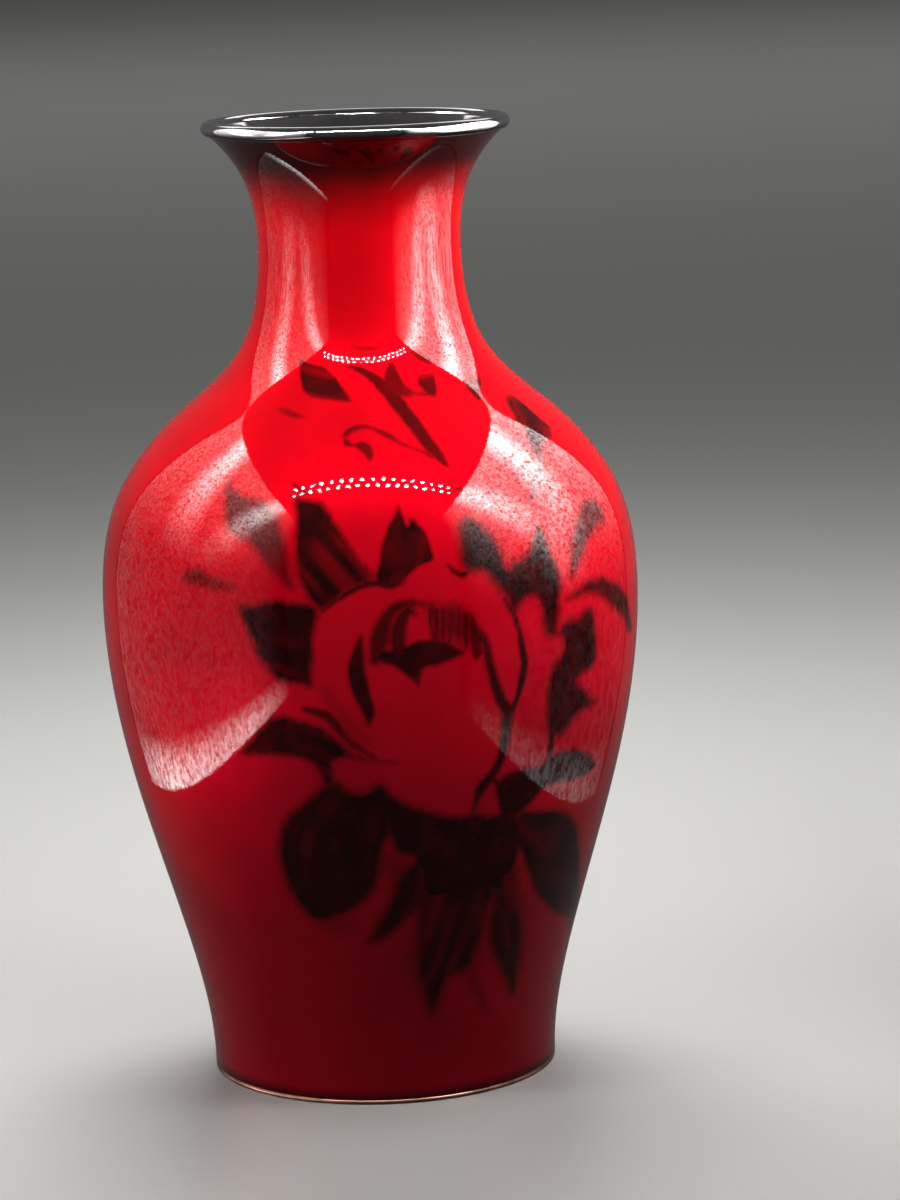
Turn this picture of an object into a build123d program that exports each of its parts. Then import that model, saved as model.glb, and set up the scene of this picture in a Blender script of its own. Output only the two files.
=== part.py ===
from build123d import *
import os
from math import cos, degrees, radians, sin, sqrt

# A wireless cloisonne vase: a raised copper body with a soldered foot ring and a silver mouth rim,
# coated outside with red enamel, into which a rose, its leaves and its stems are set as separate
# fills of enamel. Millimetres, +Z up, origin on the table at the centre of the foot, the rose
# facing -Y.

# ---- driving dimensions ----
HEIGHT = 185.0
FOOT_RADIUS = 33.5
BELLY_RADIUS = 51.8
BELLY_HEIGHT = 92.0
NECK_ROOT = 141.0  # height where the shoulder turns into the neck
NECK_RADIUS = 19.5
NECK_HEIGHT = 159.0
LIP_RADIUS = 28.1  # where the enamel meets the rim
LIP_FLARE = 50.0  # degrees from vertical at the lip

ENAMEL = 0.8  # outer enamel
COPPER = 0.9  # copper wall and bottom
LINING = 0.4  # counter-enamel inside and under the bottom

BARE_EDGE = 0.8  # height of the foot ring's bare copper edge
FOOT_HEIGHT = 5.5  # height of the bottom's underside over the table
FOOT_RING_WIDTH = 1.9  # behind the enamel
FOOT_ROUNDING = 0.3

RIM_BEAD_RADIUS = 1.37
RIM_SKIRT = 6.0  # how far the rim reaches down, from the top, inside the mouth
LIP_SHADE = 11.5  # how far the dark band reaches down from the top

# ---- worked out from them ----
WALL = ENAMEL + COPPER + LINING
INNER_FLOOR = FOOT_HEIGHT + COPPER
lip_direction = Vector(sin(radians(LIP_FLARE)), cos(radians(LIP_FLARE)))
bead_offset = sqrt(RIM_BEAD_RADIUS**2 - (WALL / 2) ** 2)  # from the wall's end to the bead's centre
bead_height = WALL / 2 * lip_direction.X + bead_offset * lip_direction.Y + RIM_BEAD_RADIUS
LIP_HEIGHT = HEIGHT - bead_height

# ---- the profile, as (radius, height) from foot to lip ----
end_directions = ((0, 1), (lip_direction.X, lip_direction.Y))
with BuildLine(mode=Mode.PRIVATE) as outside:
    outer_curve = Spline(
        (FOOT_RADIUS, BARE_EDGE),
        (37.7, 26.0),
        (46.8, 58.0),
        (BELLY_RADIUS, BELLY_HEIGHT),
        (48.5, 113.0),  # shoulder
        (36.1, 129.0),
        (23.9, NECK_ROOT),
        (NECK_RADIUS, NECK_HEIGHT),
        (21.4, 173.0),
        (LIP_RADIUS, LIP_HEIGHT),
        tangents=end_directions,
    )

LAYER_POINTS = 24


def layer_curve(depth):
    """Points of the profile set in from the outer surface by depth."""
    points = []
    for step in range(LAYER_POINTS + 1):
        share = step / LAYER_POINTS
        along = outer_curve % share
        inward = Vector(-along.Y, along.X)
        points.append(outer_curve @ share + inward * depth)
    return points


PROFILE_STEPS = 400
profile_points = [outer_curve @ (step / PROFILE_STEPS) for step in range(PROFILE_STEPS + 1)]


def radius_at(height):
    """Outer radius at a height, between closely spaced points of the profile."""
    for low, high in zip(profile_points, profile_points[1:]):
        if low.Y <= height <= high.Y:
            share = (height - low.Y) / (high.Y - low.Y)
            return low.X + share * (high.X - low.X)
    raise ValueError(f"no wall at height {height}")


def revolved_layer(outer_depth, inner_depth):
    """The wall between two depths, from the foot's bare edge to the lip."""
    with BuildPart() as layer:
        with BuildSketch(Plane.XZ):
            with BuildLine():
                outer = Spline(*layer_curve(outer_depth), tangents=end_directions)
                inner = Spline(*layer_curve(inner_depth), tangents=end_directions)
                Line(outer @ 0, inner @ 0)
                Line(outer @ 1, inner @ 1)
            make_face()
        revolve(axis=Axis.Z)
    return layer.part


def finish(part, name):
    """Labels a finished piece and writes it."""
    part.label = name
    export_step(part, f"parts/{name}.step")


os.makedirs("parts", exist_ok=True)

# ---- copper wall: three sections soldered end to end at the belly and at the root of the neck ----
copper_wall = revolved_layer(ENAMEL, ENAMEL + COPPER)
belly_seam = Plane.XY.offset(BELLY_HEIGHT)
neck_seam = Plane.XY.offset(NECK_ROOT)
bottom_radius = radius_at(INNER_FLOOR) - ENAMEL - COPPER / 2
with BuildPart() as copper_body:
    add(copper_wall)
    split(bisect_by=Plane.XY.offset(FOOT_HEIGHT), keep=Keep.TOP)
    split(bisect_by=belly_seam, keep=Keep.BOTTOM)
    with BuildSketch(Plane.XY.offset(FOOT_HEIGHT)):
        Circle(bottom_radius)
    extrude(amount=COPPER)
finish(copper_body.part, "copper_body")

with BuildPart() as copper_shoulder:
    add(copper_wall)
    split(bisect_by=belly_seam, keep=Keep.TOP)
    split(bisect_by=neck_seam, keep=Keep.BOTTOM)
finish(copper_shoulder.part, "copper_shoulder")

with BuildPart() as copper_neck:
    add(copper_wall)
    split(bisect_by=neck_seam, keep=Keep.TOP)
finish(copper_neck.part, "copper_neck")

# ---- foot ring: behind the enamel, with a bare edge as wide as the enamel stands out ----
ring_inner_radius = FOOT_RADIUS - ENAMEL - FOOT_RING_WIDTH
with BuildPart() as ring_wall:
    add(revolved_layer(ENAMEL, ENAMEL + FOOT_RING_WIDTH))
    split(bisect_by=Plane.XY.offset(FOOT_HEIGHT), keep=Keep.BOTTOM)
with BuildPart() as foot_ring:
    with BuildSketch():
        Circle(FOOT_RADIUS)
        Circle(ring_inner_radius, mode=Mode.SUBTRACT)
    extrude(amount=BARE_EDGE)
    table_edges = foot_ring.edges().group_by(Axis.Z)[0]
    fillet(table_edges, radius=FOOT_ROUNDING)
    add(ring_wall.part)
finish(foot_ring.part, "foot_ring")

# ---- counter-enamel: inside the body, and under its bottom inside the foot ring ----
lining_layer = revolved_layer(ENAMEL + COPPER, WALL)
skirt_plane = Plane.XY.offset(HEIGHT - RIM_SKIRT)
lining_floor_radius = bottom_radius - COPPER / 2 - LINING / 2
with BuildPart() as lining_enamel:
    add(lining_layer)
    split(bisect_by=Plane.XY.offset(INNER_FLOOR), keep=Keep.TOP)
    split(bisect_by=skirt_plane, keep=Keep.BOTTOM)
    with BuildSketch(Plane.XY.offset(INNER_FLOOR)):
        Circle(lining_floor_radius)
    extrude(amount=LINING)
finish(lining_enamel.part, "lining_enamel")

with BuildPart() as base_enamel:
    with BuildSketch(Plane.XY.offset(FOOT_HEIGHT)):
        Circle(FOOT_RADIUS - ENAMEL)
    extrude(amount=-LINING)
    add(foot_ring.part, mode=Mode.SUBTRACT)
finish(base_enamel.part, "base_enamel")

# ---- mouth rim: a bead over the end of the wall, and a skirt in place of the lining ----
with BuildPart() as mouth_rim:
    add(lining_layer)
    split(bisect_by=skirt_plane, keep=Keep.TOP)
    with BuildSketch(Plane.XZ):
        with BuildLine():
            wall_end = Line(layer_curve(0)[-1], layer_curve(WALL)[-1])
            RadiusArc(wall_end @ 0, wall_end @ 1, RIM_BEAD_RADIUS, short_sagitta=False)
        make_face()
    revolve(axis=Axis.Z)
finish(mouth_rim.part, "mouth_rim")

# ---- outer enamel: the dark band under the rim, and the rest, which the motif is cut from ----
enamel_coat = revolved_layer(0, ENAMEL)
shade_plane = Plane.XY.offset(HEIGHT - LIP_SHADE)
with BuildPart() as lip_shade_enamel:
    add(enamel_coat)
    split(bisect_by=shade_plane, keep=Keep.TOP)
finish(lip_shade_enamel.part, "lip_shade_enamel")

with BuildPart() as enamel_below_shade:
    add(enamel_coat)
    split(bisect_by=shade_plane, keep=Keep.BOTTOM)

# ---- the motif ----
# Each outline is a loop of smooth stretches. A point is (angle, height): degrees around the vase
# from the front, positive to the right, and millimetres over the table. A stretch of two points
# is straight. A fill takes whatever enamel the fills before it have left inside its outline, so
# fills meet face to face: the rose lies over its leaves, and they lie over their stems.


def brush_stroke(centre_line, width):
    """Outline of a stroke that tapers to both ends, as two stretches."""
    last = len(centre_line) - 1
    upper = []
    lower = []
    for index, (angle, height) in enumerate(centre_line):
        before = centre_line[max(index - 1, 0)]
        after = centre_line[min(index + 1, last)]
        radius = radius_at(height)
        across = Vector(before[1] - after[1], radians(after[0] - before[0]) * radius).normalized()
        half_width = width / 2 * sin(radians(180 * index / last))
        turn = degrees(across.X * half_width / radius)
        rise = across.Y * half_width
        upper.append((angle + turn, height + rise))
        lower.append((angle - turn, height - rise))
    return [upper, lower[::-1]]


def outline_prism(stretches):
    """The outline as seen along the radius through its middle, run out through the enamel."""
    angles = [angle for stretch in stretches for angle, height in stretch]
    middle = radians((min(angles) + max(angles)) / 2)
    facing = Plane(
        origin=(0, 0, 0),
        x_dir=(cos(middle), sin(middle), 0),
        z_dir=(sin(middle), -cos(middle), 0),
    )
    with BuildPart() as prism:
        with BuildSketch(facing):
            with BuildLine():
                for stretch in stretches:
                    points = []
                    for angle, height in stretch:
                        points.append((radius_at(height) * sin(radians(angle) - middle), height))
                    if len(points) == 2:
                        Line(*points)
                    else:
                        Spline(*points)
            make_face()
        extrude(amount=BELLY_RADIUS + ENAMEL)
    return prism.part


rose = {
    "petal_stroke_left": brush_stroke([(-2.5, 94), (-4, 89), (-3.5, 84), (-0.5, 77)], 2.6),
    "petal_stroke_right": brush_stroke(
        [(22.5, 92), (25, 85.5), (28.5, 78), (28.6, 71), (26.5, 65.5), (22.5, 61)], 2.4
    ),
    "petal_stroke_outer": brush_stroke([(28.5, 97), (31.8, 91), (32.2, 84.5), (30.5, 78.5)], 1.6),
    "rose_heart_arc": [
        [(0, 90), (0.8, 95), (4, 99), (8, 99.7)],
        [(8, 99.7), (5.6, 97.5), (5, 94.5), (6, 91)],
        [(6, 91), (0, 90)],
    ],
    "rose_heart_shade": [
        [(6, 91), (10, 93), (14, 96), (20.5, 96)],
        [(20.5, 96), (23, 92.5), (21.5, 88.5)],
        [(21.5, 88.5), (15, 88.5), (9.5, 84.2)],
        [(9.5, 84.2), (7.2, 87), (6, 91)],
    ],
    "rose_petals": [
        [(20, 59.5), (4, 64.5), (-6, 73), (-11, 84), (-11.5, 92), (-9, 99.5)],
        [(-9, 99.5), (0, 103), (9, 104), (16, 105.3), (24, 103.3)],
        [(24, 103.3), (30, 95), (33, 87), (31.5, 78), (29.4, 70), (25, 63), (20, 59.5)],
    ],
}

leaves = {
    "leaf_upper_left": [
        [(-16.7, 118.5), (-15.5, 110), (-14, 103), (-10, 98.5)],
        [(-10, 98.5), (1, 101)],
        [(1, 101), (1, 103.5), (-4, 110), (-9.5, 117.2)],
        [(-9.5, 117.2), (-16.7, 118.5)],
    ],
    "leaf_top": [
        [(2, 101), (2.5, 110), (6.5, 117)],
        [(6.5, 117), (8.6, 112.5)],
        [(8.6, 112.5), (9.8, 115.3)],
        [(9.8, 115.3), (13, 110), (13, 103)],
        [(13, 103), (2, 101)],
    ],
    "leaf_left": [
        [(-28, 99.5), (-20, 100.3), (-14, 100), (-9, 97)],
        [(-9, 97), (-9, 87)],
        [(-9, 87), (-17, 85.2), (-23.5, 89), (-28, 99.5)],
    ],
    "leaf_upper_right": [
        [(18.5, 102), (19.2, 108), (21, 114.5)],
        [(21, 114.5), (28, 108), (33, 105.6)],
        [(33, 105.6), (39.8, 111)],
        [(39.8, 111), (42.8, 104), (42.8, 97), (40.5, 91)],
        [(40.5, 91), (37.5, 97), (28, 94)],
        [(28, 94), (18.5, 102)],
    ],
    "leaf_right": [
        [(42.5, 92.5), (48, 94), (54, 92.5)],
        [(54, 92.5), (54.6, 86.5), (47.5, 81.2)],
        [(47.5, 81.2), (52, 79.3), (56, 75.5)],
        [(56, 75.5), (48.5, 74.3), (41.5, 71)],
        [(41.5, 71), (38.7, 78), (41.8, 85), (42.5, 92.5)],
    ],
    "leaf_far_left": [
        [(-35.9, 120.7), (-30, 118.6), (-21.1, 116.7)],
        [(-21.1, 116.7), (-18.6, 111), (-16.6, 103.4)],
        [(-16.6, 103.4), (-22.4, 107.6), (-28, 111.6), (-33.4, 114.3)],
        [(-33.4, 114.3), (-35.9, 120.7)],
    ],
    "leaf_far_right": [
        [(47, 103.3), (49.5, 109.5), (55, 114.6), (62.8, 114)],
        [(62.8, 114), (59, 109.3), (53, 106.3), (47, 103.3)],
    ],
    "leaf_far_shoulder": [
        [(38, 114.7), (44, 120.3), (49, 126), (52, 130.2), (57.5, 132.7), (62.3, 132.3)],
        [(62.3, 132.3), (64.2, 127)],
        [(64.2, 127), (59, 124.8), (53.5, 123), (48, 119), (38, 114.7)],
    ],
    "leaf_lower_left": [
        [(-16, 64), (-8, 66.2), (5, 66)],
        [(5, 66), (4.5, 59), (0.5, 52), (-3, 43)],
        [(-3, 43), (-10, 40), (-17, 38)],
        [(-17, 38), (-24, 46), (-22.5, 57), (-16, 64)],
    ],
    "leaf_lower_middle": [
        [(9.5, 64), (17, 63), (26, 63)],
        [(26, 63), (32, 56), (35, 47), (30, 40)],
        [(30, 40), (20, 39), (10, 41), (2, 46)],
        [(2, 46), (5, 54), (9.5, 64)],
    ],
    "leaf_lower_small": [
        [(3, 47), (-1, 40), (-4, 33)],
        [(-4, 33), (3.5, 36.5), (12, 42)],
        [(12, 42), (3, 47)],
    ],
    "leaf_bottom_middle": [
        [(11, 44), (9.6, 32), (11, 25), (15, 18)],
        [(15, 18), (20, 24), (25, 27), (28.5, 33)],
        [(28.5, 33), (28.5, 44)],
        [(28.5, 44), (11, 44)],
    ],
    "leaf_bottom_right": [
        [(33, 49), (40, 39), (44, 24)],
        [(44, 24), (40.5, 29.5), (35.5, 35.5)],
        [(35.5, 35.5), (33, 27.5)],
        [(33, 27.5), (30.5, 35), (30, 43)],
        [(30, 43), (33, 49)],
    ],
    "leaf_lower_right": [
        [(33, 55.5), (44, 56), (54, 53.5), (63, 45), (75, 31)],
        [(75, 31), (62, 31.5), (48, 37.5), (38, 45.5)],
        [(38, 45.5), (33, 55.5)],
    ],
    "leaf_shoulder_left": [
        [(-29.5, 141), (-20, 140.5), (-9, 137.5), (-4, 134.3)],
        [(-4, 134.3), (-13, 134.8), (-22, 136.7), (-29.5, 141)],
    ],
    "leaf_shoulder_middle": [
        [(12, 135.5), (17, 137.5), (24, 138.6), (31, 138.2)],
        [(31, 138.2), (26, 135), (18, 134.2), (12, 135.5)],
    ],
    "leaf_shoulder_right": [
        [(42, 136.5), (48, 137.3), (54, 136.2)],
        [(54, 136.2), (48.5, 133.8), (42, 136.5)],
    ],
}

strokes = {
    "bar_left": brush_stroke([(-31, 71.5), (-22, 75), (-13, 73.8), (-3, 72)], 7.0),
    "bar_right": [
        [(26.5, 60), (35, 65), (45, 67), (53, 66.3), (60, 62.5)],
        [(60, 62.5), (50, 61), (42, 60.3), (35, 57.6), (26.5, 60)],
    ],
    "stem_right": brush_stroke([(44, 96.5), (52, 98), (60, 96.7), (67, 93), (74, 86.5)], 4.4),
    "stem_shoulder": brush_stroke([(-9, 140.5), (3, 139.5), (11, 135.5), (20, 123)], 3.4),
    "bud_stroke_long": brush_stroke([(-6, 129.5), (1, 130.3), (9, 127.5), (17, 122)], 2.8),
    "bud_stroke_short": brush_stroke([(-6.5, 127.2), (-3, 126.8), (1, 124.5)], 1.6),
}

enamel_left = enamel_below_shade.part
for name, stretches in {**rose, **leaves, **strokes}.items():
    prism = outline_prism(stretches)
    with BuildPart() as fill:
        add(enamel_left)
        add(prism, mode=Mode.INTERSECT)
    finish(fill.part, name)
    with BuildPart() as remainder:
        add(enamel_left)
        add(prism, mode=Mode.SUBTRACT)
    enamel_left = remainder.part
finish(enamel_left, "red_ground_enamel")
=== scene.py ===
from math import atan2, cos, pi, radians, sin, sqrt

import bpy
import numpy as np
from mathutils import Matrix, Vector


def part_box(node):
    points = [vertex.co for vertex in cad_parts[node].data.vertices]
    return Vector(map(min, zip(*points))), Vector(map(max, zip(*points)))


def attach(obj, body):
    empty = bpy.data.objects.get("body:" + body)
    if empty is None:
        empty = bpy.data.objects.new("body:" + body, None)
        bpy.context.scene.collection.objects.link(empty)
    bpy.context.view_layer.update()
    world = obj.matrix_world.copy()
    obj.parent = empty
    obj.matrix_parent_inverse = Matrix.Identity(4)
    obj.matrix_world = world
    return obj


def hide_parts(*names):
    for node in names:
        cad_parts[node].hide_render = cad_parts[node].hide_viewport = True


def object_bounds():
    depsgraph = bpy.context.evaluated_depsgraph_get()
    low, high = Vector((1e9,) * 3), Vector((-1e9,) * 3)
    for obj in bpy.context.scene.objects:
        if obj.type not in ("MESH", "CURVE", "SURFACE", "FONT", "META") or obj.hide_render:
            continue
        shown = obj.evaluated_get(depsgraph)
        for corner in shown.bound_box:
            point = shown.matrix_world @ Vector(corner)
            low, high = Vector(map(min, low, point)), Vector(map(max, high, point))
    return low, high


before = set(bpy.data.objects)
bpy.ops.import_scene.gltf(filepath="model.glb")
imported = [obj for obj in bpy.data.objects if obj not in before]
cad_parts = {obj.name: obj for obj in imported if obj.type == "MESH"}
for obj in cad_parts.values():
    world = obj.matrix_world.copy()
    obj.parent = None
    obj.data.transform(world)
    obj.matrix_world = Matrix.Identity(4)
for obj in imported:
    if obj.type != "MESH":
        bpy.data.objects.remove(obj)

# A wireless cloisonne vase. Outline points of the rose picture are (angle, height): degrees around
# the vase from the front, positive to the right, and millimetres over the table. All else is in
# metres, +Z up, with the rose facing -Y.

MM = 0.001
cad_low, cad_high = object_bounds()
HEIGHT = cad_high[2]
FOOT_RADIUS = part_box("foot_ring")[1][0]

ENAMEL = 0.8 * MM
COPPER = 0.9 * MM
LINING = 0.4 * MM
WALL = ENAMEL + COPPER + LINING
BARE_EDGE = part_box("red_ground_enamel")[0][2]  # the enamel starts this far over the table
FOOT_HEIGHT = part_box("copper_body")[0][2]
INNER_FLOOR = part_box("lining_enamel")[0][2]
SKIRT_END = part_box("mouth_rim")[0][2]
LIP_FLARE = radians(50)
LIP_RADIUS = 28.1 * MM  # where the enamel meets the rim
BEAD_RADIUS = 1.37 * MM

# -------------------- small helpers

SPLINE_SAMPLES = 4000  # points along a spline from which its even spacing is read
NOISE_CELLS = 64  # the painted noise repeats after this many cells
TINY = 1e-9  # keeps a division away from zero


def clamped_spline(points, start, end, count):
    """Evenly spaced points and unit tangents on the cubic spline through points.

    start and end are its directions at the two ends.
    """
    points = np.array(points, float)
    chords = np.linalg.norm(np.diff(points, axis=0), axis=1)
    knots = np.concatenate([[0], np.cumsum(chords)])
    size = len(points)
    system = np.zeros((size, size))
    right = np.zeros((size, 2))
    system[0, 0] = system[-1, -1] = 1
    right[0] = start
    right[-1] = end
    for i in range(1, size - 1):
        before, after = chords[i - 1], chords[i]
        system[i, i - 1 : i + 2] = after, 2 * (before + after), before
        to_here = (points[i] - points[i - 1]) / before
        onwards = (points[i + 1] - points[i]) / after
        right[i] = 3 * (after * to_here + before * onwards)
    slopes = np.linalg.solve(system, right)

    def at(places):
        span = np.clip(np.searchsorted(knots, places, side="right") - 1, 0, size - 2)
        width = chords[span][:, None]
        t = ((places - knots[span]) / chords[span])[:, None]
        a, b = points[span], points[span + 1]
        m, n = slopes[span] * width, slopes[span + 1] * width
        place = (2 * t**3 - 3 * t**2 + 1) * a + (t**3 - 2 * t**2 + t) * m
        place = place + (3 * t**2 - 2 * t**3) * b + (t**3 - t**2) * n
        slope = (6 * t**2 - 6 * t) * a + (3 * t**2 - 4 * t + 1) * m
        slope = slope + (6 * t - 6 * t**2) * b + (3 * t**2 - 2 * t) * n
        return place, slope / np.linalg.norm(slope, axis=1)[:, None]

    fine = np.linspace(0, knots[-1], SPLINE_SAMPLES)
    fine_points, _ = at(fine)
    steps = np.linalg.norm(np.diff(fine_points, axis=0), axis=1)
    lengths = np.concatenate([[0], np.cumsum(steps)])
    even = np.linspace(0, lengths[-1], count)
    return at(np.interp(even, lengths, fine))


def smooth(low, high, value):
    """Rises smoothly from 0 where value is low to 1 where it is high."""
    t = np.clip((value - low) / (high - low), 0, 1)
    return t * t * (3 - 2 * t)


def lattice_noise(x, y, seed):
    """Smooth noise from 0 to 1 on a grid of cells one unit wide."""
    table = np.random.default_rng(seed).random((NOISE_CELLS, NOISE_CELLS))
    left, low = np.floor(x).astype(int), np.floor(y).astype(int)
    u, v = x - left, y - low
    u, v = u * u * (3 - 2 * u), v * v * (3 - 2 * v)

    def corner(i, j):
        return table[(left + i) % NOISE_CELLS, (low + j) % NOISE_CELLS]

    bottom = corner(0, 0) * (1 - u) + corner(1, 0) * u
    top = corner(0, 1) * (1 - u) + corner(1, 1) * u
    return bottom * (1 - v) + top * v


# -------------------- the profile

# how far past the wall's end the bead is centred, so that it meets both edges of the wall
BEAD_REACH = sqrt(BEAD_RADIUS**2 - (WALL / 2) ** 2)
LIP_HEIGHT_DROP = WALL / 2 * sin(LIP_FLARE) + BEAD_REACH * cos(LIP_FLARE) + BEAD_RADIUS
STATIONS = [
    (FOOT_RADIUS, BARE_EDGE),
    (37.7 * MM, 26.0 * MM),
    (46.8 * MM, 58.0 * MM),
    (51.8 * MM, 92.0 * MM),  # the belly
    (48.5 * MM, 113.0 * MM),
    (36.1 * MM, 129.0 * MM),
    (23.9 * MM, 141.0 * MM),
    (19.5 * MM, 159.0 * MM),  # the neck
    (21.4 * MM, 173.0 * MM),
    (LIP_RADIUS, HEIGHT - LIP_HEIGHT_DROP),
]
PROFILE_COUNT = 3000
profile, profile_tangents = clamped_spline(
    STATIONS, (0, 1), (sin(LIP_FLARE), cos(LIP_FLARE)), PROFILE_COUNT
)
profile_normals = np.stack([profile_tangents[:, 1], -profile_tangents[:, 0]], 1)
profile_length = np.linalg.norm(np.diff(profile, axis=0), axis=1).sum()
profile_places = np.linspace(0, profile_length, PROFILE_COUNT)


def on_profile(places, depth=0.0):
    """(radius, height) and outward normals at distances along the profile from the foot.

    The points are set in from the profile by depth.
    """
    columns = [np.interp(places, profile_places, profile[:, i]) for i in (0, 1)]
    normals = [np.interp(places, profile_places, profile_normals[:, i]) for i in (0, 1)]
    points = np.stack(columns, 1)
    normals = np.stack(normals, 1)
    return points - normals * np.reshape(depth, (-1, 1)), normals


def place_at_height(height):
    """The distance along the profile from the foot to a height."""
    return np.interp(height, profile[:, 1], profile_places)


# -------------------- meshes


def placed(name, data):
    """A new object in the scene."""
    thing = bpy.data.objects.new(name, data)
    bpy.context.scene.collection.objects.link(thing)
    return thing


def new_object(name, vertices, faces, material):
    mesh = bpy.data.meshes.new(name)
    mesh.from_pydata([tuple(v) for v in vertices], [], faces)
    mesh.materials.append(material)
    mesh.shade_smooth()
    return placed(name, mesh)


def lathe(name, outline, columns, material):
    """Revolves a closed outline of (radius, height), given counterclockwise, around the whole circle."""
    rows = len(outline)
    angles = np.linspace(0, 2 * pi, columns, endpoint=False)
    vertices = []
    for angle in angles:
        for radius, height in outline:
            vertices.append((radius * sin(angle), -radius * cos(angle), height))
    faces = []
    for column in range(columns):
        here, there = column * rows, (column + 1) % columns * rows
        for row in range(rows):
            above = (row + 1) % rows
            faces.append((here + row, there + row, there + above, here + above))
    return new_object(name, vertices, faces, material)


# -------------------- node materials


class Nodes:
    """Short calls for building a material's nodes."""

    def __init__(self, name):
        self.material = bpy.data.materials.new(name)
        self.material.use_nodes = True
        self.tree = self.material.node_tree
        self.shader = self.tree.nodes["Principled BSDF"]

    def add(self, kind, **settings):
        node = self.tree.nodes.new(kind)
        for key, value in settings.items():
            setattr(node, key, value)
        return node

    def link(self, source, target):
        self.tree.links.new(source, target)

    def feed(self, socket, value):
        """Sets a socket to a number or a colour, or links it to another socket."""
        if isinstance(value, bpy.types.NodeSocket):
            self.link(value, socket)
        elif isinstance(value, tuple):
            socket.default_value = (*value, 1.0)
        else:
            socket.default_value = value

    def attribute(self, name):
        return self.add("ShaderNodeAttribute", attribute_name=name).outputs["Fac"]

    def position(self):
        return self.add("ShaderNodeTexCoord").outputs["Object"]

    def coordinates(self):
        """The sockets X, Y and Z of the place, in metres."""
        node = self.add("ShaderNodeSeparateXYZ")
        self.link(self.position(), node.inputs["Vector"])
        return node.outputs

    def height(self):
        return self.coordinates()["Z"]

    def radius(self):
        place = self.coordinates()
        x, y = place["X"], place["Y"]
        squares = self.math("ADD", self.math("MULTIPLY", x, x), self.math("MULTIPLY", y, y))
        return self.math("SQRT", squares)

    def stretched(self, scale):
        """The place with each axis multiplied by its own scale."""
        node = self.add("ShaderNodeMapping")
        self.link(self.position(), node.inputs["Vector"])
        node.inputs["Scale"].default_value = scale
        return node.outputs["Vector"]

    def noise(self, scale, detail=2.0, roughness=0.5, vector=None):
        node = self.add("ShaderNodeTexNoise")
        self.link(vector or self.position(), node.inputs["Vector"])
        node.inputs["Scale"].default_value = scale
        node.inputs["Detail"].default_value = detail
        node.inputs["Roughness"].default_value = roughness
        return node.outputs["Fac"]

    def cells(self, scale):
        """Distance from the middles of scattered cells."""
        node = self.add("ShaderNodeTexVoronoi")
        self.link(self.position(), node.inputs["Vector"])
        node.inputs["Scale"].default_value = scale
        return node.outputs["Distance"]

    def math(self, operation, a, b=0.0):
        node = self.add("ShaderNodeMath", operation=operation)
        for socket, value in zip(node.inputs, (a, b)):
            self.feed(socket, value)
        return node.outputs[0]

    def map(self, value, low, high, to_low=0.0, to_high=1.0, smooth_step=True):
        """Carries the range from low to high over to the other one, and holds still beyond its ends."""
        node = self.add("ShaderNodeMapRange", interpolation_type="SMOOTHSTEP" if smooth_step else "LINEAR")
        for socket, number in zip(node.inputs[:5], (value, low, high, to_low, to_high)):
            self.feed(socket, number)
        return node.outputs["Result"]

    def mix(self, share, a, b):
        node = self.add("ShaderNodeMix", data_type="RGBA")
        sockets = [s for s in node.inputs if s.enabled]
        for socket, value in zip(sockets, (share, a, b)):
            self.feed(socket, value)
        return node.outputs["Result"]

    def ramp(self, value, stops):
        node = self.add("ShaderNodeValToRGB")
        self.link(value, node.inputs["Fac"])
        stop_list = node.color_ramp.elements
        while len(stop_list) < len(stops):
            stop_list.new(0.5)
        for stop, (place, colour) in zip(stop_list, stops):
            stop.position = place
            stop.color = (*colour, 1.0)
        return node.outputs["Color"]

    def bump(self, height, distance, strength=1.0, normal=None):
        node = self.add("ShaderNodeBump")
        node.inputs["Strength"].default_value = strength
        node.inputs["Distance"].default_value = distance
        self.link(height, node.inputs["Height"])
        if normal:
            self.link(normal, node.inputs["Normal"])
        return node.outputs["Normal"]

    def principled(self, **values):
        """Sets the shader's sockets, named with _ for each space."""
        for name, value in values.items():
            self.feed(self.shader.inputs[name.replace("_", " ")], value)


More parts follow.
